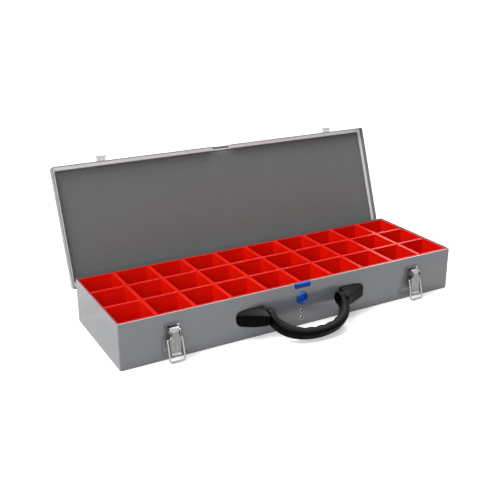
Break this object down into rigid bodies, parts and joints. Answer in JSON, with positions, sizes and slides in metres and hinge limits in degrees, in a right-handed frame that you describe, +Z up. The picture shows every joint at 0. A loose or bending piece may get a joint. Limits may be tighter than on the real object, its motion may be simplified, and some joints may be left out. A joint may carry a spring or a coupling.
{
  "type": "drill bit case",
  "caption": "Flat sheet steel case with a lid hinged at the back, square inset bins, two toggle latches, a push button clip and a folding carrying handle on the front.",
  "frame": {"origin": "centre of the underside of the case body", "axes": "+X along the case to the right as seen from the front, -Y out of the front, +Z up"},
  "size_m": [0.5316, 0.2972, 0.2127],
  "materials": {
    "grey_paint": "satin",
    "light_grey_paint": "satin",
    "foam": "matt",
    "red_plastic": "gloss",
    "zinc": "satin",
    "bright_steel": "gloss",
    "black_plastic": "satin",
    "blue_plastic": "gloss"
  },
  "bodies": {
    "case_body": {"body_shell": "grey_paint", "hinge_body_leaf": "zinc", "hinge_pin": "bright_steel", "hinge_body_rivets": "bright_steel", "latch_plate_left": "zinc", "latch_plate_right": "zinc", "latch_pins": "bright_steel", "latch_rivets": "bright_steel", "handle_cap_left": "black_plastic", "handle_cap_right": "black_plastic", "cap_screws": "bright_steel", "handle_pins": "bright_steel", "catch_foot": "zinc", "catch_rivets": "bright_steel"},
    "lid": {"lid_shell": "grey_paint", "lid_ledge_frame": "light_grey_paint", "lid_foam": "foam", "hinge_lid_leaf": "zinc", "hinge_lid_rivets": "bright_steel", "keeper_left": "zinc", "keeper_right": "zinc", "keeper_rivets": "bright_steel"},
    "handle": {"handle_grip": "black_plastic"},
    "clip": {"release_button": "blue_plastic", "catch_nose": "blue_plastic", "catch_arm": "zinc"},
    "lever_left": {"latch_lever_left": "zinc"},
    "lever_right": {"latch_lever_right": "zinc"},
    "loop_left": {"latch_bail_left": "bright_steel"},
    "loop_right": {"latch_bail_right": "bright_steel"},
    "bin_1_1": {"bin_1_1": "red_plastic"},
    "bin_1_2": {"bin_1_2": "red_plastic"},
    "bin_1_3": {"bin_1_3": "red_plastic"},
    "bin_1_4": {"bin_1_4": "red_plastic"},
    "bin_1_5": {"bin_1_5": "red_plastic"},
    "bin_1_6": {"bin_1_6": "red_plastic"},
    "bin_1_7": {"bin_1_7": "red_plastic"},
    "bin_1_8": {"bin_1_8": "red_plastic"},
    "bin_1_9": {"bin_1_9": "red_plastic"},
    "bin_1_10": {"bin_1_10": "red_plastic"},
    "bin_2_1": {"bin_2_1": "red_plastic"},
    "bin_2_2": {"bin_2_2": "red_plastic"},
    "bin_2_3": {"bin_2_3": "red_plastic"},
    "bin_2_4": {"bin_2_4": "red_plastic"},
    "bin_2_5": {"bin_2_5": "red_plastic"},
    "bin_2_6": {"bin_2_6": "red_plastic"},
    "bin_2_7": {"bin_2_7": "red_plastic"},
    "bin_2_8": {"bin_2_8": "red_plastic"},
    "bin_2_9": {"bin_2_9": "red_plastic"},
    "bin_2_10": {"bin_2_10": "red_plastic"},
    "bin_3_1": {"bin_3_1": "red_plastic"},
    "bin_3_2": {"bin_3_2": "red_plastic"},
    "bin_3_3": {"bin_3_3": "red_plastic"},
    "bin_3_4": {"bin_3_4": "red_plastic"},
    "bin_3_5": {"bin_3_5": "red_plastic"},
    "bin_3_6": {"bin_3_6": "red_plastic"},
    "bin_3_7": {"bin_3_7": "red_plastic"},
    "bin_3_8": {"bin_3_8": "red_plastic"},
    "bin_3_9": {"bin_3_9": "red_plastic"},
    "bin_3_10": {"bin_3_10": "red_plastic"}
  },
  "joints": [
    {"name": "lid_hinge", "type": "hinge", "parent": "case_body", "child": "lid", "pos_m": [0, 0.0846, 0.0494], "axis": [-1, 0, 0], "range_deg": [-110, 0]},
    {"name": "handle_pivot", "type": "hinge", "parent": "case_body", "child": "handle", "pos_m": [0, -0.09275, 0.032], "axis": [-1, 0, 0], "range_deg": [0, 85]},
    {"name": "clip_flex", "type": "hinge", "parent": "case_body", "child": "clip", "pos_m": [0, -0.0812, 0.026], "axis": [-1, 0, 0], "range_deg": [0, 3.2], "stiffness_Nm_per_rad": 1, "springref_deg": -171.89},
    {"name": "lever_left_pivot", "type": "hinge", "parent": "case_body", "child": "lever_left", "pos_m": [-0.1935, -0.0901, 0.041], "axis": [-1, 0, 0], "range_deg": [0, 120]},
    {"name": "loop_left_pivot", "type": "hinge", "parent": "lever_left", "child": "loop_left", "pos_m": [-0.1935, -0.0897, 0.0305], "axis": [1, 0, 0], "range_deg": [-167.5, 0]},
    {"name": "lever_right_pivot", "type": "hinge", "parent": "case_body", "child": "lever_right", "pos_m": [0.1935, -0.0901, 0.041], "axis": [-1, 0, 0], "range_deg": [0, 120]},
    {"name": "loop_right_pivot", "type": "hinge", "parent": "lever_right", "child": "loop_right", "pos_m": [0.1935, -0.0897, 0.0305], "axis": [1, 0, 0], "range_deg": [-167.5, 0]},
    {"name": "lift_1_1", "type": "slide", "parent": "case_body", "child": "bin_1_1", "axis": [0, 0, 1], "range_m": [0, 0.07]},
    {"name": "lift_1_2", "type": "slide", "parent": "case_body", "child": "bin_1_2", "axis": [0, 0, 1], "range_m": [0, 0.07]},
    {"name": "lift_1_3", "type": "slide", "parent": "case_body", "child": "bin_1_3", "axis": [0, 0, 1], "range_m": [0, 0.07]},
    {"name": "lift_1_4", "type": "slide", "parent": "case_body", "child": "bin_1_4", "axis": [0, 0, 1], "range_m": [0, 0.07]},
    {"name": "lift_1_5", "type": "slide", "parent": "case_body", "child": "bin_1_5", "axis": [0, 0, 1], "range_m": [0, 0.07]},
    {"name": "lift_1_6", "type": "slide", "parent": "case_body", "child": "bin_1_6", "axis": [0, 0, 1], "range_m": [0, 0.07]},
    {"name": "lift_1_7", "type": "slide", "parent": "case_body", "child": "bin_1_7", "axis": [0, 0, 1], "range_m": [0, 0.07]},
    {"name": "lift_1_8", "type": "slide", "parent": "case_body", "child": "bin_1_8", "axis": [0, 0, 1], "range_m": [0, 0.07]},
    {"name": "lift_1_9", "type": "slide", "parent": "case_body", "child": "bin_1_9", "axis": [0, 0, 1], "range_m": [0, 0.07]},
    {"name": "lift_1_10", "type": "slide", "parent": "case_body", "child": "bin_1_10", "axis": [0, 0, 1], "range_m": [0, 0.07]},
    {"name": "lift_2_1", "type": "slide", "parent": "case_body", "child": "bin_2_1", "axis": [0, 0, 1], "range_m": [0, 0.07]},
    {"name": "lift_2_2", "type": "slide", "parent": "case_body", "child": "bin_2_2", "axis": [0, 0, 1], "range_m": [0, 0.07]},
    {"name": "lift_2_3", "type": "slide", "parent": "case_body", "child": "bin_2_3", "axis": [0, 0, 1], "range_m": [0, 0.07]},
    {"name": "lift_2_4", "type": "slide", "parent": "case_body", "child": "bin_2_4", "axis": [0, 0, 1], "range_m": [0, 0.07]},
    {"name": "lift_2_5", "type": "slide", "parent": "case_body", "child": "bin_2_5", "axis": [0, 0, 1], "range_m": [0, 0.07]},
    {"name": "lift_2_6", "type": "slide", "parent": "case_body", "child": "bin_2_6", "axis": [0, 0, 1], "range_m": [0, 0.07]},
    {"name": "lift_2_7", "type": "slide", "parent": "case_body", "child": "bin_2_7", "axis": [0, 0, 1], "range_m": [0, 0.07]},
    {"name": "lift_2_8", "type": "slide", "parent": "case_body", "child": "bin_2_8", "axis": [0, 0, 1], "range_m": [0, 0.07]},
    {"name": "lift_2_9", "type": "slide", "parent": "case_body", "child": "bin_2_9", "axis": [0, 0, 1], "range_m": [0, 0.07]},
    {"name": "lift_2_10", "type": "slide", "parent": "case_body", "child": "bin_2_10", "axis": [0, 0, 1], "range_m": [0, 0.07]},
    {"name": "lift_3_1", "type": "slide", "parent": "case_body", "child": "bin_3_1", "axis": [0, 0, 1], "range_m": [0, 0.07]},
    {"name": "lift_3_2", "type": "slide", "parent": "case_body", "child": "bin_3_2", "axis": [0, 0, 1], "range_m": [0, 0.07]},
    {"name": "lift_3_3", "type": "slide", "parent": "case_body", "child": "bin_3_3", "axis": [0, 0, 1], "range_m": [0, 0.07]},
    {"name": "lift_3_4", "type": "slide", "parent": "case_body", "child": "bin_3_4", "axis": [0, 0, 1], "range_m": [0, 0.07]},
    {"name": "lift_3_5", "type": "slide", "parent": "case_body", "child": "bin_3_5", "axis": [0, 0, 1], "range_m": [0, 0.07]},
    {"name": "lift_3_6", "type": "slide", "parent": "case_body", "child": "bin_3_6", "axis": [0, 0, 1], "range_m": [0, 0.07]},
    {"name": "lift_3_7", "type": "slide", "parent": "case_body", "child": "bin_3_7", "axis": [0, 0, 1], "range_m": [0, 0.07]},
    {"name": "lift_3_8", "type": "slide", "parent": "case_body", "child": "bin_3_8", "axis": [0, 0, 1], "range_m": [0, 0.07]},
    {"name": "lift_3_9", "type": "slide", "parent": "case_body", "child": "bin_3_9", "axis": [0, 0, 1], "range_m": [0, 0.07]},
    {"name": "lift_3_10", "type": "slide", "parent": "case_body", "child": "bin_3_10", "axis": [0, 0, 1], "range_m": [0, 0.07]}
  ]
}
